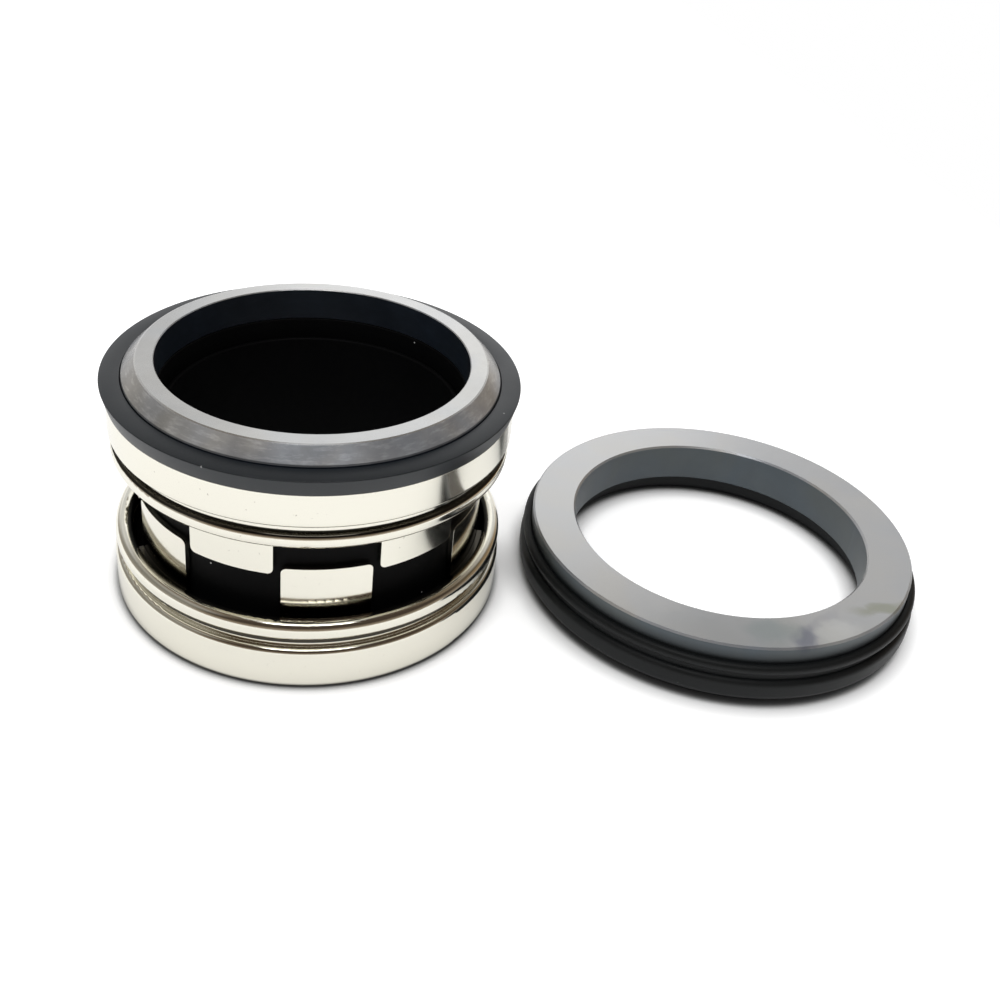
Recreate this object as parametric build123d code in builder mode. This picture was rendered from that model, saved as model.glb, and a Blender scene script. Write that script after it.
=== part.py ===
"""Component mechanical seal with an elastomer bellows, for a 38 mm shaft.

The rotary head stands on its drive ring with its lapped face up. The stationary
seat, a lapped ring in a rubber cup, lies beside it on the same surface.
Millimetres, +Z up, the head's axis on Z and its base at Z = 0.
"""
import math
import os

from build123d import *

os.makedirs("parts", exist_ok=True)

# From the shaft outwards, what lies in the head: tail, spring, skirt, lugs, shells
shaft_radius = 19.0
tail_wall = 0.75
spring_gap = 0.10            # between the spring and the rubber on each side
wire_diameter = 1.60
skirt_wall = 0.80
rubber_gap = 0.15            # between the rubber and the metal around it
sheet = 0.70                 # thickness of both pressed shells
bend_radius = 0.37           # of the sharp bends, at the middle of the sheet
bead_bend = 0.74             # over the rolled beads, likewise
trough_bend = 0.45           # in the trough behind the lugs, likewise
trough_width = 0.76          # free space between the lugs and the bead
trough_depth = 1.30
flange_width = 2.20          # from the lugs out to the floor of the groove
groove_depth = 0.95          # from the wall in to the floor of the groove
lug_count = 6
lug_angle = 27.7             # degrees of arc that one lug takes
lug_turn = 5.2               # degrees from -Y to the first lug of the drive ring
lug_corner = 0.75
lug_overlap = 1.00           # of the upper lugs over the lower ones, along the axis
window_reach = 0.10          # of the windows between the lugs, into the bead

# Drive ring, the lower shell
hole_clearance = 1.50        # round the shaft, in the floor
shoulder_height = 5.85       # top of the wall's shoulder above the base
lower_groove_height = 1.40
lower_bead_height = 2.35
lower_bead_depth = 0.80      # from the bead in to the floor of the groove
lower_lug_length = 6.20

# Retainer, the upper shell
retainer_height = 28.50      # its top edge above the base, at free length
upper_wall_height = 4.65
upper_groove_height = 1.05
upper_bead_height = 2.20
upper_bead_depth = 0.75

# Primary ring
ring_clearance = 1.20        # round the shaft
face_width = 2.30
cone_width = 1.80
cone_height = 1.80
ring_side_height = 2.80
ring_sink = 0.20             # its back below the retainer's top edge
ring_fit = 0.10              # between the ring and its collar
ring_chamfer = 0.12

# Rubber bellows
collar_overhang = 0.65       # past the retainer's wall
collar_taper = 0.65          # how far its side slopes in, down to the metal
collar_grip = 2.60           # how far it reaches up the ring's side
collar_crown = 0.15
collar_web = 4.40            # rubber between the ring's back and the spring
tail_gap = 0.30              # between the tail and the web that slides round it
tail_drop = 2.70             # from the ring's back down to the tail's rim
tail_rounding = 0.30
floor_wall = 1.00
bulge_gap = 0.20             # between the convolution and the drive ring
bulge_height = 2.40          # middle of the convolution's lower bend
bulge_rise = 3.00            # from there to its upper bend
bulge_inset = 1.40           # how far it comes in again at the floor
bulge_rounding = 1.10
flare_drop = 0.55            # below the trough, where the skirt begins to flare

# Coil spring
spring_turns = 5.5

# Stationary seat: the lapped ring
seat_clearance = 1.80        # round the shaft
seat_width = 6.10
seat_ring_height = 5.90
seat_chamfer = 0.25

# Stationary seat: its rubber cup
cup_floor = 3.00
cup_grip = 3.55              # how far it reaches up the ring's side
cup_fit = 0.05
cup_wall = 0.45
cup_rounding = 0.80          # at the foot of its outside
bore_rounding = 1.20         # at the foot of its bore
bore_shy = 0.10              # the cup's bore inside the ring's
upper_lip_reach = 1.10       # past the ring
upper_lip_drop = 0.70        # middle of the lip below the cup's rim
upper_lip_half = 0.65
lower_lip_reach = 1.30
lower_lip_height = 2.90      # middle of the lip above the base
lower_lip_half = 1.40
lower_lip_rounding = 0.90    # leaves a short land on the lip's crest

# Where the seat lies
stand_gap = 3.10             # free space between the head and the seat
stand_angle = -2.9           # direction of the seat, in degrees from +X

# Radii that follow
half_sheet = sheet / 2
tail_radius = shaft_radius + tail_wall
pocket_radius = tail_radius + spring_gap + wire_diameter + spring_gap
skirt_radius = pocket_radius + skirt_wall
lug_inside = skirt_radius + rubber_gap
lug_radius = lug_inside + sheet
bead_inside = lug_radius + trough_width
window_radius = bead_inside + window_reach
groove_radius = lug_radius + flange_width
wall_radius = groove_radius + groove_depth
collar_radius = wall_radius + collar_overhang
ring_bore_radius = shaft_radius + ring_clearance
face_radius = ring_bore_radius + face_width
ring_radius = face_radius + cone_width
seat_bore_radius = shaft_radius + seat_clearance
seat_radius = seat_bore_radius + seat_width
lip_radius = seat_radius + max(upper_lip_reach, lower_lip_reach)

# Heights that follow
lower_bead_bottom = shoulder_height + lower_groove_height
lower_bead_top = lower_bead_bottom + lower_bead_height
wall_bottom = retainer_height - upper_wall_height
upper_bead_top = wall_bottom - upper_groove_height
upper_bead_bottom = upper_bead_top - upper_bead_height
lower_tip = lower_bead_top + lower_lug_length
upper_tip = lower_tip - lug_overlap
lower_trough = lower_bead_top - trough_depth
upper_trough = upper_bead_bottom + trough_depth
ring_back = retainer_height - ring_sink
pocket_top = ring_back - collar_web
spring_foot = sheet + floor_wall
spring_length = pocket_top - spring_foot


def pressed_shell(path, bends, lug_root, lug_tip, turn):
    """Sheet bent along a path of radius and height, which ends as a ring of lugs."""
    window_angle = 360 / lug_count - lug_angle
    window_start = turn + lug_angle / 2
    with BuildPart() as shell:
        with BuildSketch(Plane.XZ):
            with BuildLine():
                FilletPolyline(*path, radius=bends)
            trace(line_width=sheet)
        revolve(axis=Axis.Z)
        with BuildSketch(Plane.XY.offset(min(lug_root, lug_tip))):
            with BuildLine():
                inner = CenterArc((0, 0), lug_inside - sheet, window_start, window_angle)
                outer = CenterArc((0, 0), window_radius, window_start, window_angle)
                Line(inner @ 0, outer @ 0)
                Line(inner @ 1, outer @ 1)
            window = make_face(mode=Mode.PRIVATE)
            with PolarLocations(0, lug_count):
                add(window)
        extrude(amount=abs(lug_tip - lug_root), mode=Mode.SUBTRACT)
        corners = shell.edges().filter_by(
            lambda edge: abs(edge.center().Z - lug_tip) < 0.01
            and edge.geom_type == GeomType.LINE
        )
        fillet(corners, radius=lug_corner)
    return shell


# Drive ring: the lower shell, from the hole in its floor to the tips of its lugs
lower_wall = wall_radius - half_sheet
lower_neck = groove_radius - half_sheet
lower_bead = groove_radius + lower_bead_depth - half_sheet
bead_back = bead_inside + half_sheet
lug_middle = lug_radius - half_sheet
lower_path = [
    (shaft_radius + hole_clearance, half_sheet),
    (lower_wall, half_sheet),
    (lower_wall, shoulder_height - half_sheet),
    (lower_neck, shoulder_height - half_sheet),
    (lower_neck, lower_bead_bottom + half_sheet),
    (lower_bead, lower_bead_bottom + half_sheet),
    (lower_bead, lower_bead_top - half_sheet),
    (bead_back, lower_bead_top - half_sheet),
    (bead_back, lower_trough - half_sheet),
    (lug_middle, lower_trough - half_sheet),
    (lug_middle, lower_tip),
]
lower_bends = 5 * [bend_radius] + 2 * [bead_bend] + 2 * [trough_bend]
lower_root = lower_trough - sheet
lower_turn = lug_turn - 90
drive_ring = pressed_shell(lower_path, lower_bends, lower_root, lower_tip, lower_turn)
drive_ring.part.label = "drive_ring"
export_step(drive_ring.part, "parts/drive_ring.step")

# Retainer: the upper shell, open at the top, with its lugs between the lower ones
upper_wall = wall_radius - half_sheet
upper_neck = groove_radius - half_sheet
upper_bead = groove_radius + upper_bead_depth - half_sheet
upper_path = [
    (upper_wall, retainer_height),
    (upper_wall, wall_bottom + half_sheet),
    (upper_neck, wall_bottom + half_sheet),
    (upper_neck, upper_bead_top - half_sheet),
    (upper_bead, upper_bead_top - half_sheet),
    (upper_bead, upper_bead_bottom + half_sheet),
    (bead_back, upper_bead_bottom + half_sheet),
    (bead_back, upper_trough + half_sheet),
    (lug_middle, upper_trough + half_sheet),
    (lug_middle, upper_tip),
]
upper_bends = 4 * [bend_radius] + 2 * [bead_bend] + 2 * [trough_bend]
upper_root = upper_trough + sheet
upper_turn = lower_turn + 180 / lug_count
retainer = pressed_shell(upper_path, upper_bends, upper_root, upper_tip, upper_turn)
retainer.part.label = "retainer"
export_step(retainer.part, "parts/retainer.step")

# Primary ring: narrow lapped face, cone and plain side
cone_foot = ring_back + ring_side_height
ring_outline = [
    (ring_bore_radius, ring_back),
    (ring_radius, ring_back),
    (ring_radius, cone_foot),
    (face_radius, cone_foot + cone_height),
    (ring_bore_radius, cone_foot + cone_height),
]
with BuildPart() as primary_ring:
    with BuildSketch(Plane.XZ):
        with BuildLine():
            Polyline(*ring_outline, close=True)
        profile = make_face()
        chamfer(profile.vertices(), length=ring_chamfer)
    revolve(axis=Axis.Z)
primary_ring.part.label = "primary_ring"
export_step(primary_ring.part, "parts/primary_ring.step")

# Bellows: one moulding, from the collar round the primary ring down the skirt and
# through the convolution in the drive ring to the tail that grips the shaft
collar_inside = ring_radius + ring_fit
neck_inside = groove_radius - sheet - rubber_gap
collar_foot = upper_trough + sheet
collar_outline = [
    (tail_radius + tail_gap, ring_back),
    (collar_inside, ring_back),
    (collar_inside, ring_back + collar_grip),
    (collar_radius, ring_back + collar_grip - collar_crown),
    (collar_radius - collar_taper, retainer_height),
    (wall_radius - sheet - rubber_gap, retainer_height),
    (wall_radius - sheet - rubber_gap, wall_bottom + sheet),
    (neck_inside, wall_bottom + sheet),
    (neck_inside, collar_foot),
    (pocket_radius, collar_foot),
    (pocket_radius, pocket_top),
    (tail_radius + tail_gap, pocket_top),
]
skirt_middle = skirt_radius - skirt_wall / 2
bulge_middle = groove_radius - sheet - bulge_gap - skirt_wall / 2
skirt_path = [
    (skirt_middle, collar_foot),
    (skirt_middle, lower_trough - sheet - flare_drop),
    (bulge_middle, bulge_height + bulge_rise),
    (bulge_middle, bulge_height),
    (bulge_middle - bulge_inset, sheet + skirt_wall / 2),
    (tail_radius, sheet + skirt_wall / 2),
]
tail_rim = ring_back - tail_drop
with BuildPart() as bellows:
    with BuildSketch(Plane.XZ):
        with BuildLine():
            Polyline(*collar_outline, close=True)
        make_face()
        with BuildLine():
            FilletPolyline(*skirt_path, radius=bulge_rounding)
        trace(line_width=skirt_wall)
        with Locations((shaft_radius, sheet)):
            Rectangle(bulge_middle - bulge_inset - shaft_radius, floor_wall, align=Align.MIN)
        with Locations((shaft_radius, 0)):
            Rectangle(tail_wall, tail_rim, align=Align.MIN)
    revolve(axis=Axis.Z)
    rim = bellows.edges().filter_by(
        lambda edge: abs(edge.center().Z - tail_rim) < 0.01
    )
    fillet(rim, radius=tail_rounding)
bellows.part.label = "bellows"
export_step(bellows.part, "parts/bellows.step")

# Spring: a round wire coil in the bellows' pocket, its ends ground flat
coil_radius = tail_radius + spring_gap + wire_diameter / 2
with BuildPart() as spring:
    with BuildLine(Plane.XY.offset(spring_foot)):
        coil = Helix(spring_length / spring_turns, spring_length, coil_radius)
    with BuildSketch(Plane(coil @ 0, z_dir=coil % 0)):
        Circle(wire_diameter / 2)
    sweep(path=coil, is_frenet=True)
    split(bisect_by=Plane.XY.offset(spring_foot), keep=Keep.TOP)
    split(bisect_by=Plane.XY.offset(pocket_top), keep=Keep.BOTTOM)
spring.part.label = "spring"
export_step(spring.part, "parts/spring.step")

# The seat lies flat beside the head, on an upright axis of its own
stand_distance = collar_radius + stand_gap + lip_radius
seat_x = stand_distance * math.cos(math.radians(stand_angle))
seat_y = stand_distance * math.sin(math.radians(stand_angle))
seat_plane = Plane((seat_x, seat_y, 0), x_dir=(1, 0, 0), z_dir=(0, -1, 0))
seat_axis = Axis((seat_x, seat_y, 0), (0, 0, 1))

# Seat ring: lapped on top, with a small chamfer on its edges
with BuildPart() as seat_ring:
    with BuildSketch(seat_plane):
        with Locations((seat_bore_radius, cup_floor)):
            profile = Rectangle(seat_width, seat_ring_height, align=Align.MIN)
        chamfer(profile.vertices(), length=seat_chamfer)
    revolve(axis=seat_axis)
seat_ring.part.label = "seat_ring"
export_step(seat_ring.part, "parts/seat_ring.step")

# Seat cup: rubber under and round the ring, with two round lips on its outside
cup_inside = seat_radius + cup_fit
cup_rim = cup_floor + cup_grip
cup_bore = seat_bore_radius - bore_shy
with BuildPart() as seat_cup:
    with BuildSketch(seat_plane):
        with Locations((cup_bore, 0)):
            base = Rectangle(cup_inside + cup_wall - cup_bore, cup_rim, align=Align.MIN)
        foot = base.vertices().group_by(Axis.Y)[0].sort_by(Axis.X)
        fillet(foot[1], radius=cup_rounding)
        foot = base.vertices().group_by(Axis.Y)[0].sort_by(Axis.X)
        fillet(foot[0], radius=bore_rounding)
        with Locations((seat_radius + upper_lip_reach - upper_lip_half, cup_rim - upper_lip_drop)):
            Circle(upper_lip_half)
        with Locations((seat_radius + lower_lip_reach - lower_lip_half, lower_lip_height)):
            RectangleRounded(2 * lower_lip_half, 2 * lower_lip_half, lower_lip_rounding)
        with Locations((cup_bore, cup_floor)):
            Rectangle(cup_inside - cup_bore, 2 * cup_grip, align=Align.MIN, mode=Mode.SUBTRACT)
    revolve(axis=seat_axis)
seat_cup.part.label = "seat_cup"
export_step(seat_cup.part, "parts/seat_cup.step")
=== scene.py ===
"""A component mechanical seal: a rotary head on its drive ring, and its seat beside it."""
import math

import bpy
from mathutils import Matrix


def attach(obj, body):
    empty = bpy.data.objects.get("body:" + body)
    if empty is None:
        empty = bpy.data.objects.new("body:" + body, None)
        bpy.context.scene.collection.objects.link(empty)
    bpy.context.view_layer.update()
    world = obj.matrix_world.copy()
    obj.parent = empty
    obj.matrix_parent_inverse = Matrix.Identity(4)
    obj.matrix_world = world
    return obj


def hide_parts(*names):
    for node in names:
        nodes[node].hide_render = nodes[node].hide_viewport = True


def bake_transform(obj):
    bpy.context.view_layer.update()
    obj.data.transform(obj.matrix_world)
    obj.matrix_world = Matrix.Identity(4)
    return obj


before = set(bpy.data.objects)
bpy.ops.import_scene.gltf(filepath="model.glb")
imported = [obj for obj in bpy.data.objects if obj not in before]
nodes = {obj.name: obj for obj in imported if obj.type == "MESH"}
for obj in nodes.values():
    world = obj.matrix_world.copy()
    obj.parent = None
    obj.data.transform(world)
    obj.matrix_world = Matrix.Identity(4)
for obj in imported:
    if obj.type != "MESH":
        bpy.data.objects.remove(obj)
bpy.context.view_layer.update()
MM = 0.001

# The camera stands close above the front edge of the table, turned a little to the right
# and slightly rolled. Its place is in millimetres, its angles are in degrees.
CAMERA_PLACE = (0.0, -132.70, 100.63)
CAMERA_TURN = 8.86
CAMERA_PITCH = 29.10
CAMERA_ROLL = 5.63
CAMERA_LENS = 41.09
CAMERA_SENSOR = 36.0
CAMERA_SHIFT = (0.031, -0.096)
bpy.ops.object.select_all(action="DESELECT")
bpy.ops.object.camera_add()
camera = bpy.context.object
camera.name = "camera"
camera.data.sensor_width = CAMERA_SENSOR
camera.data.lens = CAMERA_LENS
camera.data.shift_x, camera.data.shift_y = CAMERA_SHIFT
aim = Matrix.Rotation(math.radians(-CAMERA_TURN), 4, "Z")
aim = aim @ Matrix.Rotation(math.radians(90.0 - CAMERA_PITCH), 4, "X")
aim = aim @ Matrix.Rotation(math.radians(CAMERA_ROLL), 4, "Z")
camera.matrix_world = Matrix.Translation([value * MM for value in CAMERA_PLACE]) @ aim
bpy.context.scene.camera = camera


# The table is a plain white sheet that ends a little in front of the seal and a little to
# its right. To the camera it is fully white, and it keeps the shadow where the seal stands.
TABLE_WIDTH = 3.0
TABLE_FRONT = -95.0
TABLE_RIGHT = 190.0
TABLE_COLOUR = (0.86, 0.86, 0.86, 1.0)
CONTACT_COLOUR = (0.10, 0.10, 0.10, 1.0)
# How much light the table adds of its own, where the camera and where gloss sees it.
TABLE_LIFT = 0.50
GLOSS_LIFT = 0.13
# The shadow where pieces stand on the table, and the dark line right at their feet: how far
# each reaches, and how open the table is where it is darkest and where it ends.
SHADOW_REACH = 4.0 * MM
SHADOW_OPENNESS = (0.45, 0.90)
CONTACT_REACH = 1.6 * MM
CONTACT_OPENNESS = (0.45, 0.80)
OPENNESS_SAMPLES = 8


def empty_tree(owner):
    """Clears the shader nodes of a material or a world. The function that it returns adds a
    node, with its settings by name and its inputs by name or index: each input takes a value
    or another node's output."""
    owner.use_nodes = True
    tree = owner.node_tree
    tree.nodes.clear()

    def add(kind, inputs=None, **settings):
        node = tree.nodes.new("ShaderNode" + kind)
        for setting, value in settings.items():
            setattr(node, setting, value)
        for key, value in (inputs or {}).items():
            if isinstance(value, bpy.types.NodeSocket):
                tree.links.new(value, node.inputs[key])
            else:
                node.inputs[key].default_value = value
        return node

    return add


def ramp(add, value, start, end, low=0.0, high=1.0, ease="LINEAR"):
    """Goes from low to high while a value goes from start to end."""
    limits = {"From Min": start, "From Max": end, "To Min": low, "To Max": high}
    node = add("MapRange", {"Value": value, **limits}, interpolation_type=ease)
    return node.outputs["Result"]


def maths(add, operation, *values):
    """The result of one operation on its values."""
    return add("Math", dict(enumerate(values)), operation=operation).outputs[0]


def mix(add, factor, first, second, blend="MIX"):
    """The first colour, changed by the second one as far as the factor says."""
    colours = {"Factor": factor, "A": first, "B": second}
    return add("Mix", colours, data_type="RGBA", blend_type=blend).outputs["Result"]


def openness(add, reach, shut, clear):
    """How open the table is to the air within a reach: 0 up to shut, 1 from clear on."""
    around = add("AmbientOcclusion", {"Distance": reach}, samples=OPENNESS_SAMPLES)
    return ramp(add, around.outputs["AO"], shut, clear)


bpy.ops.object.select_all(action="DESELECT")
bpy.ops.mesh.primitive_plane_add(
    size=TABLE_WIDTH,
    location=(TABLE_RIGHT * MM - TABLE_WIDTH / 2, TABLE_FRONT * MM + TABLE_WIDTH / 2, 0),
)
table = bpy.context.object
table.name = "table"
table_paint = bpy.data.materials.new("white_table")
add_to_paint = empty_tree(table_paint)
in_contact = openness(add_to_paint, CONTACT_REACH, *CONTACT_OPENNESS)
table_tone = mix(add_to_paint, in_contact, CONTACT_COLOUR, TABLE_COLOUR)
matte = add_to_paint("BsdfDiffuse", {"Color": table_tone})
path = add_to_paint("LightPath")
lift = 0.0
for ray, amount in (
    ("Is Camera Ray", TABLE_LIFT),
    ("Is Glossy Ray", GLOSS_LIFT),
    ("Is Transmission Ray", TABLE_LIFT),
):
    lift = maths(add_to_paint, "MULTIPLY_ADD", path.outputs[ray], amount, lift)
in_shadow = openness(add_to_paint, SHADOW_REACH, *SHADOW_OPENNESS)
glow = add_to_paint("Emission", {"Strength": maths(add_to_paint, "MULTIPLY", lift, in_shadow)})
both = add_to_paint("AddShader", {0: matte.outputs[0], 1: glow.outputs[0]})
add_to_paint("OutputMaterial", {"Surface": both.outputs[0]})
table.data.materials.append(table_paint)


# The air of the studio is plain grey light on matt surfaces, and white where it is seen.
# Gloss shows more of the room: a bright window low behind the seal in a grey wall, wood to
# the right, a dim wall to the left, the dark side of the room in front, and a dim ceiling
# with a white panel straight above.
AIR_LIGHT = 0.62
WINDOW_LIGHT = 0.68
WINDOW_AIM = (0.148, 0.881, 0.449)
WINDOW_SPREAD = (0.959, 0.994)
COLUMN_FOOT = -0.30
WHITE = (1.0, 1.0, 1.0, 1.0)
# Each side of the room from low to high: the sine of the height, and the colour there.
BACK_WALL = [
    (-0.05, (0.95, 0.95, 0.95, 1.0)),
    (0.15, (0.84, 0.84, 0.845, 1.0)),
    (0.36, (0.89, 0.89, 0.895, 1.0)),
    (0.42, (0.67, 0.67, 0.675, 1.0)),
    (0.48, (0.61, 0.61, 0.615, 1.0)),
    (0.56, (0.65, 0.65, 0.65, 1.0)),
    (0.68, (0.34, 0.32, 0.29, 1.0)),
    (0.76, (0.15, 0.12, 0.09, 1.0)),
    (0.95, (0.12, 0.095, 0.07, 1.0)),
    (0.975, WHITE),
]
LEFT_WALL = [
    (-0.02, WHITE),
    (0.03, (0.38, 0.35, 0.31, 1.0)),
    (0.30, (0.24, 0.225, 0.20, 1.0)),
    (0.55, (0.20, 0.19, 0.17, 1.0)),
    (0.72, (0.36, 0.35, 0.33, 1.0)),
    (0.86, (0.34, 0.30, 0.27, 1.0)),
    (0.975, WHITE),
]
RIGHT_WALL = [
    (-0.24, WHITE),
    (-0.18, (0.34, 0.26, 0.17, 1.0)),
    (0.03, (0.30, 0.22, 0.14, 1.0)),
    (0.38, (0.20, 0.145, 0.09, 1.0)),
    (0.48, (0.10, 0.075, 0.048, 1.0)),
    (0.62, (0.08, 0.06, 0.04, 1.0)),
    (0.80, (0.22, 0.17, 0.11, 1.0)),
    (0.95, (0.22, 0.17, 0.11, 1.0)),
    (0.975, WHITE),
]
FRONT_ROOM = [
    (-0.28, WHITE),
    (-0.17, (0.48, 0.42, 0.36, 1.0)),
    (0.02, (0.32, 0.27, 0.22, 1.0)),
    (0.24, (0.18, 0.145, 0.11, 1.0)),
    (0.48, (0.052, 0.038, 0.028, 1.0)),
]
LEFT_REACH = (0.40, 0.80)
RIGHT_REACH = (0.45, 0.80)
FRONT_AIM = (0.30, -0.954, 0.0)
FRONT_REACH = (0.02, 0.34)
world = bpy.data.worlds.new("studio_air")
bpy.context.scene.world = world
add_to_air = empty_tree(world)
air_path = add_to_air("LightPath")
direction = add_to_air("TexCoord").outputs["Generated"]


def towards(aim):
    """How nearly the air's direction points to an aim: 1 where it does."""
    product = add_to_air("VectorMath", {0: direction, 1: aim}, operation="DOT_PRODUCT")
    return product.outputs["Value"]


def side_of_room(aim, reach):
    """How far one side of the room is seen: 0 where its reach starts, 1 where it ends."""
    return ramp(add_to_air, towards(aim), *reach, ease="SMOOTHSTEP")


def colour_ramp(add, value, stops, ease="LINEAR"):
    """A colour that follows a value: each stop is a place from 0 to 1 and the colour there."""
    band = add("ValToRGB", {"Fac": value})
    band.color_ramp.interpolation = ease
    for index, (place, colour) in enumerate(stops):
        if index < 2:
            stop = band.color_ramp.elements[index]
            stop.position = place
        else:
            stop = band.color_ramp.elements.new(place)
        stop.color = colour
    return band.outputs["Color"]


def column(stops):
    """The colours of one side of the room, from its foot up."""
    places = [((rise - COLUMN_FOOT) / (1.0 - COLUMN_FOOT), colour) for rise, colour in stops]
    return colour_ramp(add_to_air, height, places, ease="EASE")


height = ramp(add_to_air, towards((0.0, 0.0, 1.0)), COLUMN_FOOT, 1.0)
to_left = side_of_room((-1.0, 0.0, 0.0), LEFT_REACH)
to_right = side_of_room((1.0, 0.0, 0.0), RIGHT_REACH)
to_front = side_of_room(FRONT_AIM, FRONT_REACH)
in_window = side_of_room(WINDOW_AIM, WINDOW_SPREAD)
room = mix(add_to_air, to_left, column(BACK_WALL), column(LEFT_WALL))
room = mix(add_to_air, to_right, room, column(RIGHT_WALL))
room = mix(add_to_air, to_front, room, column(FRONT_ROOM))
glossy = air_path.outputs["Is Glossy Ray"]
surroundings = mix(add_to_air, glossy, WHITE, room)
seen = maths(add_to_air, "MAXIMUM", air_path.outputs["Is Camera Ray"], glossy)
seen = maths(add_to_air, "MAXIMUM", seen, air_path.outputs["Is Transmission Ray"])
seen_level = maths(add_to_air, "MULTIPLY", seen, 1.0 - AIR_LIGHT)
plain_level = maths(add_to_air, "ADD", AIR_LIGHT, seen_level)
shine = maths(add_to_air, "MULTIPLY", in_window, glossy)
shine = maths(add_to_air, "MULTIPLY", shine, WINDOW_LIGHT)
air_level = maths(add_to_air, "ADD", plain_level, shine)
air = add_to_air("Background", {"Color": surroundings, "Strength": air_level})
add_to_air("OutputWorld", {"Surface": air.outputs[0]})

# Three soft lamps: a large one over the left shoulder, a weaker one from behind on the
# right, and a weak strip over the camera, the only one that gloss shows. Places are in
# millimetres, widths and depths in metres, powers in watts.
LAMPS = [
    ("lamp_left", (-420, -180, 620), 0.60, 0.60, 1.9, False),
    ("lamp_back", (380, 420, 520), 0.50, 0.50, 0.9, False),
    ("lamp_front", (0, -215, 600), 0.34, 0.10, 0.55, True),
]
for lamp_name, lamp_place, lamp_width, lamp_depth, lamp_power, lamp_shows in LAMPS:
    bpy.ops.object.light_add(type="AREA")
    lamp = bpy.context.object
    lamp.name = lamp_name
    lamp.data.shape = "RECTANGLE"
    lamp.data.size = lamp_width
    lamp.data.size_y = lamp_depth
    lamp.data.energy = lamp_power
    lamp.visible_glossy = lamp_shows
    place = Matrix.Translation([value * MM for value in lamp_place])
    lamp.matrix_world = place @ place.translation.to_track_quat("Z", "Y").to_matrix().to_4x4()


# Drive ring: stainless sheet, pressed into a shell with a rolled bead and six lugs, and
# polished. Its floor rests on the table and carries the spring.
STEEL_COLOUR = (0.930, 0.905, 0.800, 1.0)
STEEL_ROUGHNESS = (0.090, 0.155)
STEEL_EDGE = 0.09 * MM
STEEL_EDGE_SAMPLES = 6
PIT_COLOUR = (0.60, 0.56, 0.48, 1.0)
PIT_SCALE = 2300.0
PIT_EDGE = (0.765, 0.800)
# Soft unevenness of the sheet, and the fine rings that the press tools leave on it: the
# scale of each, and the strength and height of its relief.
SWELL_SCALE = 150.0
SWELL_SPREAD = (0.3, 0.7)
SWELL_RELIEF = (0.16, 0.05 * MM)
TOOL_SCALE = 2600.0
TOOL_RELIEF = (0.11, 0.008 * MM)
# Painted shade: a dark steel colour where shade falls, in the crease over the shoulder, from
# one height to another, and in the trough behind the lugs, inside a radius, fading out between
# two heights.
SHADE_STEEL_COLOUR = (0.060, 0.055, 0.045, 1.0)
SHADE_EDGE_FADE = 0.15 * MM
DRIVE_SHADE_TROUGH = (24.20, 11.7, 9.9)
DRIVE_SHADE_CREASE = (6.40, 7.15)


def noise(add, place, scale, detail=2.0, roughness=0.5, distortion=0.0):
    """A cloudy value that changes from place to place."""
    cloud = {"Vector": place, "Scale": scale, "Detail": detail}
    cloud |= {"Roughness": roughness, "Distortion": distortion}
    return add("TexNoise", cloud).outputs["Fac"]


def relief(add, height, strength, distance, normal=None):
    """A normal that follows a height, laid over another normal if there is one."""
    inputs = {"Height": height, "Strength": strength, "Distance": distance}
    if normal:
        inputs["Normal"] = normal
    return add("Bump", inputs).outputs[0]


def rounded(add, radius, samples):
    """A normal that is rounded off at sharp edges."""
    return add("Bevel", {"Radius": radius}, samples=samples).outputs[0]


def from_axis(add, split):
    """How far a place, split in three, lies from the Z axis."""
    flat = add("CombineXYZ", {"X": split.outputs["X"], "Y": split.outputs["Y"]})
    return add("VectorMath", {0: flat.outputs[0]}, operation="LENGTH").outputs["Value"]


def polished_steel(name, pit_shift, crease, trough=None):
    """Bright pressed steel: faint rings from the press tools, small pits and soft edges. It
    takes painted shade, a dark steel colour, in the crease between two heights, and in the
    trough: inside a radius, and fading out from the second height up to the first."""
    material = bpy.data.materials.new(name)
    add = empty_tree(material)
    place = add("TexCoord").outputs["Object"]
    split = add("SeparateXYZ", {0: place})
    height = split.outputs["Z"]
    radius = from_axis(add, split)
    pit_place = add("Mapping", {"Vector": place, "Location": pit_shift}).outputs[0]
    pits = noise(add, pit_place, PIT_SCALE, detail=1.0)
    tint = mix(add, ramp(add, pits, *PIT_EDGE), STEEL_COLOUR, PIT_COLOUR)
    # Painted shade: the crease, and the trough inside its radius, take a dark steel colour
    # where shade falls.
    low, high = [value * MM for value in crease]
    in_crease = maths(add, "COMPARE", height, (low + high) / 2, (high - low) / 2)
    tint = mix(add, in_crease, tint, SHADE_STEEL_COLOUR)
    if trough:
        inside, shade_clear_height, shade_deep_height = [value * MM for value in trough]
        inward = ramp(add, radius, inside, inside - SHADE_EDGE_FADE)
        down = ramp(add, height, shade_clear_height, shade_deep_height, ease="SMOOTHSTEP")
        tint = mix(add, maths(add, "MULTIPLY", inward, down), tint, SHADE_STEEL_COLOUR)
    swell = noise(add, place, SWELL_SCALE, detail=4.0)
    tool_place = add("CombineXYZ", {"X": radius, "Y": height}).outputs[0]
    tool_rings = noise(add, tool_place, TOOL_SCALE, detail=3.0)
    normal = rounded(add, STEEL_EDGE, STEEL_EDGE_SAMPLES)
    normal = relief(add, swell, *SWELL_RELIEF, normal)
    normal = relief(add, tool_rings, *TOOL_RELIEF, normal)
    roughness = ramp(add, swell, *SWELL_SPREAD, *STEEL_ROUGHNESS)
    look = {"Base Color": tint, "Metallic": 1.0, "Roughness": roughness, "Normal": normal}
    add("OutputMaterial", {"Surface": add("BsdfPrincipled", look).outputs[0]})
    return material


nodes["drive_ring"].material_slots[0].material = polished_steel(
    "drive_ring_steel", pit_shift=(0, 0, 0), crease=DRIVE_SHADE_CREASE, trough=DRIVE_SHADE_TROUGH
)


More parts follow.
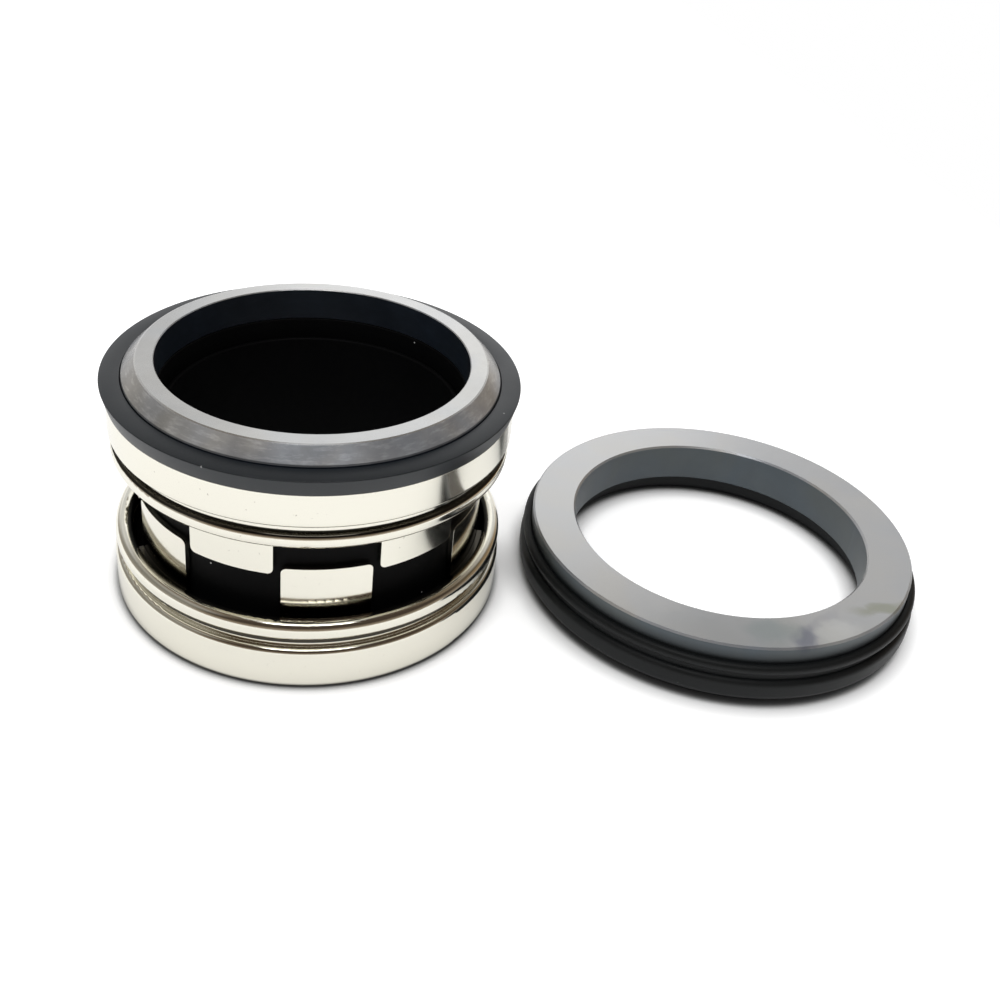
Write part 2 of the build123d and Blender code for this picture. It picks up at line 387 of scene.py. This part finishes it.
# Spring: one coil of round stainless wire, hidden in the bellows' pocket, with its ends
# ground flat. It stands on the drive ring's floor and is pressed by the head.
COIL_FOOT = 1.70
COIL_TOP = 23.90
COIL_RADIUS = 20.65
COIL_TURNS = 5.5
COIL_STEPS = 48
WIRE_RADIUS = 0.80
WIRE_STEPS = 16
WIRE_SMOOTH_ANGLE = 40.0
WIRE_ROUGHNESS = 0.32
WIRE_GRAIN = 900.0
WIRE_COLOURS = [(0.0, (0.40, 0.39, 0.36, 1.0)), (1.0, (0.62, 0.60, 0.55, 1.0))]
bpy.ops.object.select_all(action="DESELECT")
bpy.ops.mesh.primitive_circle_add(
    vertices=WIRE_STEPS,
    radius=WIRE_RADIUS * MM,
    fill_type="NOTHING",
    location=(COIL_RADIUS * MM, 0, COIL_FOOT * MM),
    rotation=(math.radians(90.0), 0, 0),
)
coil = bpy.context.object
coil.name = "coil_spring"
bpy.ops.object.transform_apply(location=True, rotation=True, scale=True)
winding = coil.modifiers.new("winding", "SCREW")
winding.angle = math.radians(360.0 * COIL_TURNS)
winding.screw_offset = (COIL_TOP - COIL_FOOT) * MM
winding.steps = int(COIL_STEPS * COIL_TURNS)
winding.render_steps = winding.steps
bpy.ops.object.modifier_apply(modifier=winding.name)
bpy.ops.object.mode_set(mode="EDIT")
for end_height, upwards in ((COIL_FOOT, False), (COIL_TOP, True)):
    bpy.ops.mesh.select_all(action="SELECT")
    bpy.ops.mesh.bisect(
        plane_co=(0, 0, end_height * MM),
        plane_no=(0, 0, 1),
        use_fill=True,
        clear_inner=not upwards,
        clear_outer=upwards,
    )
bpy.ops.mesh.select_all(action="SELECT")
bpy.ops.mesh.normals_make_consistent(inside=False)
bpy.ops.object.mode_set(mode="OBJECT")
bpy.ops.object.shade_smooth_by_angle(angle=math.radians(WIRE_SMOOTH_ANGLE))
wire_steel = bpy.data.materials.new("drawn_wire")
add_to_wire = empty_tree(wire_steel)
wire_grain = noise(add_to_wire, add_to_wire("TexCoord").outputs["Object"], WIRE_GRAIN)
wire_tone = colour_ramp(add_to_wire, wire_grain, WIRE_COLOURS)
wire_look = {"Base Color": wire_tone, "Metallic": 1.0, "Roughness": WIRE_ROUGHNESS}
wire = add_to_wire("BsdfPrincipled", wire_look)
add_to_wire("OutputMaterial", {"Surface": wire.outputs[0]})
coil.data.materials.append(wire_steel)
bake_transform(coil)
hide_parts("spring")


# Bellows: black nitrile rubber, moulded in one piece. This is its skirt, which runs from
# the collar down to a soft fold in the drive ring.
AXIS = (0.0, 0.0)
# Straight runs have rows of points.
SKIRT_RADIUS = 22.35
SKIRT_ROWS = (28.3, 26.4, 24.5, 22.6, 21.0, 19.4, 17.8, 16.2, 14.6, 13.0, 11.4, 9.8, 8.4)
FOLD_OUTSIDE = [
    (22.40, 7.60),
    (22.62, 7.15),
    (23.05, 6.75),
    (23.75, 6.20),
    (24.25, 5.70),
    (24.47, 5.20),
    (24.50, 4.60),
    (24.50, 3.10),
    (24.40, 2.50),
    (24.10, 1.95),
    (23.60, 1.40),
    (23.05, 0.95),
    (22.50, 0.74),
    (21.90, 0.70),
]
FOLD_INSIDE = [
    (19.80, 0.70),
    (19.80, 1.70),
    (22.55, 1.72),
    (23.25, 2.40),
    (23.62, 2.95),
    (23.70, 3.60),
    (23.70, 4.60),
    (23.55, 5.05),
    (23.10, 5.50),
    (22.30, 6.15),
    (21.80, 6.60),
    (21.57, 7.30),
]
POCKET_RADIUS = 21.55
POCKET_ROWS = (9.0, 10.8, 12.6, 14.4, 16.2, 18.0, 19.8, 22.6, 23.9)
WEB_BORE = [(20.05, 23.90), (20.05, 28.30)]
# The skirt's rubber colour is a much darker copy of the collar's: painted shade, for where the
# skirt and the tail lie inside the shells and the bore.
SHADED_SKIRT_TONE = (0.0015, 0.0015, 0.0018)
SMOOTH_ANGLE = 32.0
ROUND_STEPS = 192
JOINED = 0.002
ON_CORNER = 0.004
# The rubber's bloom darkens and lightens its colour, by these shares at the most, and makes
# it smoother and rougher. Specks of dust lie in a few of the cells of a fine pattern.
BLOOM_SCALE = 140.0
BLOOM_SHARES = (0.7, 1.5)
BLOOM_ROUGHNESS = 0.10
DUST_COLOUR = (0.45, 0.45, 0.44, 1.0)
DUST_SCALE = 420.0
DUST_SIZE = (0.060, 0.030)
DUST_CHANCE = (0.78, 0.82)
RUBBER_GRAIN = 5200.0
RUBBER_RELIEF = (0.35, 0.02 * MM)


def turned_ring(name, centre, outline):
    """Models a ring: a circle at the outline's first point is drawn out from point to point
    and closed on itself. The points are (radius, height) in millimetres."""
    radius, height = outline[0]
    bpy.ops.object.select_all(action="DESELECT")
    bpy.ops.mesh.primitive_circle_add(
        vertices=ROUND_STEPS,
        radius=radius * MM,
        fill_type="NOTHING",
        location=(centre[0] * MM, centre[1] * MM, height * MM),
    )
    ring = bpy.context.object
    ring.name = name
    bpy.ops.object.transform_apply(location=True, rotation=True, scale=True)
    bpy.ops.object.mode_set(mode="EDIT")
    bpy.ops.mesh.select_all(action="SELECT")
    for next_radius, next_height in outline[1:] + outline[:1]:
        bpy.ops.mesh.extrude_region_move(
            TRANSFORM_OT_translate={"value": (0, 0, (next_height - height) * MM)}
        )
        bpy.ops.transform.resize(
            value=(next_radius / radius, next_radius / radius, 1),
            center_override=(centre[0] * MM, centre[1] * MM, next_height * MM),
        )
        radius, height = next_radius, next_height
    bpy.ops.mesh.select_all(action="SELECT")
    bpy.ops.mesh.remove_doubles(threshold=JOINED * MM)
    bpy.ops.mesh.normals_make_consistent(inside=False)
    bpy.ops.object.mode_set(mode="OBJECT")
    return ring


def round_corner(ring, centre, corner, width, steps):
    """Rounds the edge that runs round a turned ring at one corner of its outline."""
    bpy.context.view_layer.objects.active = ring
    bpy.ops.object.mode_set(mode="EDIT")
    bpy.ops.mesh.select_mode(type="EDGE")
    bpy.ops.mesh.select_all(action="DESELECT")
    bpy.ops.object.mode_set(mode="OBJECT")
    on_corner = []
    for vertex in ring.data.vertices:
        reach = math.hypot(vertex.co.x / MM - centre[0], vertex.co.y / MM - centre[1])
        miss = math.hypot(reach - corner[0], vertex.co.z / MM - corner[1])
        on_corner.append(miss < ON_CORNER)
    for edge in ring.data.edges:
        edge.select = on_corner[edge.vertices[0]] and on_corner[edge.vertices[1]]
    bpy.ops.object.mode_set(mode="EDIT")
    bpy.ops.mesh.bevel(offset=width * MM, segments=steps, affect="EDGES")
    bpy.ops.object.mode_set(mode="OBJECT")


def moulded_ring(name, centre, outline, roundings):
    """A turned ring with some corners rounded: each has its place, its width and its steps."""
    ring = turned_ring(name, centre, outline)
    for corner, width, steps in roundings:
        round_corner(ring, centre, corner, width, steps)
    bpy.ops.object.shade_smooth_by_angle(angle=math.radians(SMOOTH_ANGLE))
    return ring


def moulded_rubber(name, colour, shine, roughness, dust_shift):
    """Black rubber with a fine moulded grain, a faint bloom and a few specks of dust."""
    material = bpy.data.materials.new(name)
    add = empty_tree(material)
    place = add("TexCoord").outputs["Object"]
    own_place = add("Mapping", {"Vector": place, "Location": dust_shift}).outputs[0]
    bloom = noise(add, own_place, BLOOM_SCALE, detail=5.0)
    dark, light = [(*[part * share for part in colour], 1.0) for share in BLOOM_SHARES]
    cells = add("TexVoronoi", {"Vector": own_place, "Scale": DUST_SCALE})
    speck = ramp(add, cells.outputs["Distance"], *DUST_SIZE)
    chance = add("SeparateXYZ", {0: cells.outputs["Color"]}).outputs["X"]
    dust = maths(add, "MULTIPLY", speck, ramp(add, chance, *DUST_CHANCE))
    grain = noise(add, place, RUBBER_GRAIN, detail=3.0)
    smoothest, roughest = roughness - BLOOM_ROUGHNESS, roughness + BLOOM_ROUGHNESS
    look = {
        "Base Color": mix(add, dust, mix(add, bloom, dark, light), DUST_COLOUR),
        "Roughness": ramp(add, bloom, 0.0, 1.0, smoothest, roughest),
        "Specular IOR Level": shine,
        "Normal": relief(add, grain, *RUBBER_RELIEF),
    }
    add("OutputMaterial", {"Surface": add("BsdfPrincipled", look).outputs[0]})
    return material


skirt_outline = [(SKIRT_RADIUS, row) for row in SKIRT_ROWS] + FOLD_OUTSIDE + FOLD_INSIDE
skirt_outline += [(POCKET_RADIUS, row) for row in POCKET_ROWS] + WEB_BORE
bellows = moulded_ring("bellows_skin", AXIS, skirt_outline, [(WEB_BORE[1], 0.20, 3)])
bellows_rubber = moulded_rubber(
    "bellows_rubber", SHADED_SKIRT_TONE, shine=0.10, roughness=0.60, dust_shift=(0.0, 0.0, 0.0)
)
bellows.data.materials.append(bellows_rubber)
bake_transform(bellows)
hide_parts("bellows")


# The bellows' collar: the thick end of the same moulding. It sits in the retainer, holds the
# primary ring, and its flange covers the retainer's rim.
COLLAR_OUTLINE = [
    (22.35, 28.30),
    (24.40, 28.30),
    (24.40, 30.90),
    (27.00, 30.75),
    (26.35, 28.50),
    (25.50, 28.50),
    (25.50, 24.55),
    (24.55, 24.55),
    (24.55, 22.60),
    (22.35, 22.60),
]
COLLAR_ROUNDINGS = [((24.40, 30.90), 0.10, 3), ((27.00, 30.75), 0.14, 4)]
COLLAR_RUBBER = (0.0026, 0.0058, 0.0092)
collar = moulded_ring("bellows_collar", AXIS, COLLAR_OUTLINE, COLLAR_ROUNDINGS)
collar_rubber = moulded_rubber(
    "collar_rubber", COLLAR_RUBBER, shine=0.70, roughness=0.38, dust_shift=(0.031, 0.0, 0.0)
)
collar.data.materials.append(collar_rubber)
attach(collar, "front")
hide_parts("bellows")


# The bellows' tail: the thin sleeve of the same moulding that grips the shaft. It turns up
# from the fold, through the hole in the drive ring's floor, and stays where that stands.
TAIL_OUTLINE = [(19.00, 0.00), (19.75, 0.00), (19.75, 25.60), (19.00, 25.60)]
TAIL_ROUNDINGS = [((19.75, 25.60), 0.30, 4), ((19.00, 25.60), 0.30, 4)]
tail = moulded_ring("bellows_tail", AXIS, TAIL_OUTLINE, TAIL_ROUNDINGS)
# The tail takes the skirt's darker rubber: painted shade.
tail.data.materials.append(bellows_rubber)
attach(tail, "base")
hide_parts("bellows")


# Retainer: the upper shell, pressed from the same sheet as the drive ring and polished. It
# holds the collar, and its six lugs hang between those of the drive ring. Painted shade
# darkens its crease, under its wall.
RETAINER_SHADE_CREASE = (22.50, 23.12)
nodes["retainer"].material_slots[0].material = polished_steel(
    "retainer_steel", pit_shift=(0.02, 0.01, 0), crease=RETAINER_SHADE_CREASE
)


# Primary ring: dense dark ceramic, ground all over and lapped to a mirror on the narrow
# face. It is held in the collar, with its cone and face standing proud.
FACE_GREY = (0.64, 0.642, 0.625, 1.0)
SIDE_GREY = (0.009, 0.013, 0.019, 1.0)
FACE_SMEAR = 0.30
# How far up a surface looks, as the height of its normal: where the side ends and the face
# begins, and where slopes end and the flat begins. The mottle is weaker on the flat.
SIDE_TO_FACE = (0.30, 0.95)
FLAT_TO_SLOPE = (0.97, 0.80)
FACE_MOTTLE = 0.30
MOTTLE_SCALE = 190.0
MOTTLE_EDGE = (0.35, 0.68)
FILM_SCALE = 85.0
FILM_TINTS = [
    (0.30, (0.92, 0.96, 1.05, 1.0)),
    (0.50, (0.99, 0.985, 1.02, 1.0)),
    (0.70, (1.04, 1.00, 0.96, 1.0)),
]
# The streaks that grinding leaves: long round the axis, short in height.
STREAK_SCALE = (9.0, 2400.0, 1.0)
STREAK_EDGE = (0.50, 0.72)
STREAK_SHINE = 1.55
SIDE_ROUGHNESS = 0.36
FACE_ROUGHNESS = 0.13
MOTTLE_ROUGHNESS = 0.08
FACE_METAL = 0.85
CERAMIC_EDGE = 0.05 * MM
CERAMIC_EDGE_SAMPLES = 4
CERAMIC_GRAIN = 6500.0
CERAMIC_RELIEF = (0.12, 0.01 * MM)


def ground_ceramic(name, centre, face_colour, side_colour, smear, recolour):
    """Dark ground ceramic: lapped where it faces up, mottled on its slopes, dull elsewhere.
    The recolour is a function that changes this colour further: marks, and on the seat ring
    painted shade too."""
    material = bpy.data.materials.new(name)
    add = empty_tree(material)
    coordinates = add("TexCoord")
    place = coordinates.outputs["Object"]
    to_axis = {"Vector": place, "Location": (-centre[0] * MM, -centre[1] * MM, 0)}
    own_place = add("Mapping", to_axis).outputs[0]
    looks_up = add("SeparateXYZ", {0: coordinates.outputs["Normal"]}).outputs["Z"]
    upward = ramp(add, looks_up, *SIDE_TO_FACE)
    colour = mix(add, upward, side_colour, face_colour)
    mottled = ramp(add, looks_up, *FLAT_TO_SLOPE, low=FACE_MOTTLE)
    film = noise(add, own_place, FILM_SCALE, distortion=1.2)
    colour = mix(add, mottled, colour, colour_ramp(add, film, FILM_TINTS), "MULTIPLY")
    cloud = noise(add, own_place, MOTTLE_SCALE, detail=6.0, roughness=0.6)
    shade = ramp(add, cloud, *MOTTLE_EDGE, low=1.0 - smear)
    colour = mix(add, mottled, colour, shade, "MULTIPLY")
    split = add("SeparateXYZ", {0: own_place})
    gloss = ramp(add, upward, 0.0, 1.0, SIDE_ROUGHNESS, FACE_ROUGHNESS)
    grain = noise(add, place, CERAMIC_GRAIN)
    edge = rounded(add, CERAMIC_EDGE, CERAMIC_EDGE_SAMPLES)
    look = {
        "Base Color": recolour(add, colour, place, split, looks_up),
        "Roughness": maths(add, "MULTIPLY_ADD", cloud, MOTTLE_ROUGHNESS, gloss),
        "Metallic": ramp(add, upward, 0.0, 1.0, 0.0, FACE_METAL),
        "Normal": relief(add, grain, *CERAMIC_RELIEF, edge),
    }
    add("OutputMaterial", {"Surface": add("BsdfPrincipled", look).outputs[0]})
    return material


def streak_slopes(add, colour, _place, split, looks_up):
    """Bright streaks that run round the ring on its slopes, where it was ground."""
    frontward = maths(add, "MULTIPLY", split.outputs["Y"], -1.0)
    turn = maths(add, "ARCTAN2", split.outputs["X"], frontward)
    around = add("CombineXYZ", {"X": turn, "Y": split.outputs["Z"]}).outputs[0]
    stretched = add("Mapping", {"Vector": around, "Scale": STREAK_SCALE}).outputs[0]
    streaks = noise(add, stretched, 1.0, detail=6.0, roughness=0.7)
    bright = ramp(add, streaks, *STREAK_EDGE, low=1.0, high=STREAK_SHINE)
    sloping = ramp(add, looks_up, *FLAT_TO_SLOPE)
    return mix(add, sloping, colour, bright, "MULTIPLY")


nodes["primary_ring"].material_slots[0].material = ground_ceramic(
    "primary_ring_ceramic", AXIS, FACE_GREY, SIDE_GREY, FACE_SMEAR, streak_slopes
)


# Seat ring: the stationary ring of the same ceramic, wide and flat, lapped on top and
# marked by handling, with painted shade low on its side and at the front of its face. It
# lies in its rubber cup.
SEAT_CENTRE = (58.225, -2.950)
SEAT_GREY = (0.60, 0.605, 0.60, 1.0)
SEAT_SIDE = (0.078, 0.096, 0.104, 1.0)
SEAT_SMEAR = 0.12
# Painted shade on the side outside a radius, towards the cup's lip: none at the first height,
# full at the second.
SEAT_FOOT_SHADE = (26.0, 8.3, 6.7)
FOOT_SHADE_FADE = 0.3 * MM
FOOT_SHADE_COLOUR = (0.010, 0.012, 0.013, 1.0)
# Each mark: x, y, half its length, half its width, its angle and its tint. A fine noise
# makes its edge drift, and it keeps to the face by its small depth.
MARK_HEIGHT = 8.9 * MM
MARK_DEPTH = 2.0 * MM
MARK_DRIFT = 3.0 * MM
MARK_SCALE = 420.0
MARK_FADE = 0.75
SEAT_MARKS = [
    # The first, large mark is painted shade: it darkens the front of the face. The others are
    # stains.
    (54.9, -26.7, 15.0, 7.0, -8.0, (0.84, 0.85, 0.86, 1.0)),
    (58.3, -26.3, 5.5, 3.2, 0.0, (0.84, 0.89, 0.88, 1.0)),
    (61.7, -27.9, 3.8, 1.8, 51.0, (0.60, 0.61, 0.70, 1.0)),
    (65.6, -24.6, 5.0, 1.0, 38.0, (0.91, 0.91, 0.93, 1.0)),
    (66.4, -27.0, 4.8, 2.8, 25.0, (1.20, 1.20, 1.18, 1.0)),
    (74.8, -22.2, 6.0, 1.5, 7.0, (0.76, 0.77, 0.66, 1.0)),
]


def side_shade_and_stains(add, colour, place, split, _looks_up):
    """Painted shade round the foot of the seat ring's side, towards the cup's lip, and soft
    marks on its face: the large first one is painted shade, the others stains.
    """
    outside, shade_start_height, shade_full_height = [value * MM for value in SEAT_FOOT_SHADE]
    outer = ramp(add, from_axis(add, split), outside, outside + FOOT_SHADE_FADE)
    low = ramp(add, split.outputs["Z"], shade_start_height, shade_full_height)
    # Painted shade: the side darkens outside the radius, down towards the cup's lip.
    colour = mix(add, maths(add, "MULTIPLY", outer, low), colour, FOOT_SHADE_COLOUR)
    smudge = add("TexNoise", {"Vector": place, "Scale": MARK_SCALE, "Detail": 4.0})
    drift = {0: smudge.outputs["Color"], 1: (MARK_DRIFT, MARK_DRIFT, 0), 2: place}
    drifted = add("VectorMath", drift, operation="MULTIPLY_ADD").outputs[0]
    for mark_x, mark_y, half_length, half_width, angle, tint in SEAT_MARKS:
        middle_x, middle_y = mark_x * MM + MARK_DRIFT / 2, mark_y * MM + MARK_DRIFT / 2
        spot = {
            "Vector": drifted,
            "Location": (middle_x, middle_y, MARK_HEIGHT),
            "Rotation": (0, 0, math.radians(angle)),
            "Scale": (half_length * MM, half_width * MM, MARK_DEPTH),
        }
        spot_place = add("Mapping", spot, vector_type="TEXTURE").outputs[0]
        fade = add("TexGradient", {"Vector": spot_place}, gradient_type="SPHERICAL")
        soft = ramp(add, fade.outputs["Fac"], 0.0, MARK_FADE, ease="SMOOTHSTEP")
        colour = mix(add, soft, colour, tint, "MULTIPLY")
    return colour


nodes["seat_ring"].material_slots[0].material = ground_ceramic(
    "seat_ring_ceramic", SEAT_CENTRE, SEAT_GREY, SEAT_SIDE, SEAT_SMEAR, side_shade_and_stains
)


# Seat cup: soft black rubber, moulded under and round the seat ring, with two round lips
# on its outside that seal the seat's pocket.
CUP_OUTLINE = [
    (22.20, 3.00),
    (26.95, 3.00),
    (26.95, 6.55),
    (27.36, 6.55),
    (28.00, 6.45),
    (28.00, 5.25),
    (27.40, 5.15),
    (27.40, 4.34),
    (28.20, 4.30),
    (28.20, 1.50),
    (27.00, 1.20),
    (26.50, 0.00),
    (22.20, 0.00),
]
CUP_ROUNDINGS = [
    ((28.00, 6.45), 0.56, 6),
    ((28.00, 5.25), 0.56, 6),
    ((28.20, 4.30), 0.76, 6),
    ((28.20, 1.50), 0.76, 6),
    ((26.50, 0.00), 0.50, 5),
    ((22.20, 0.00), 1.00, 6),
    ((26.95, 6.55), 0.10, 3),
]
CUP_RUBBER = (0.0060, 0.0070, 0.0075)
cup = moulded_ring("seat_cup_rubber", SEAT_CENTRE, CUP_OUTLINE, CUP_ROUNDINGS)
cup_rubber = moulded_rubber(
    "seat_cup_rubber", CUP_RUBBER, shine=0.26, roughness=0.48, dust_shift=(0.013, 0.007, 0.0)
)
cup.data.materials.append(cup_rubber)
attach(cup, "base")
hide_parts("seat_cup")

bpy.context.scene.view_settings.view_transform = "Standard"
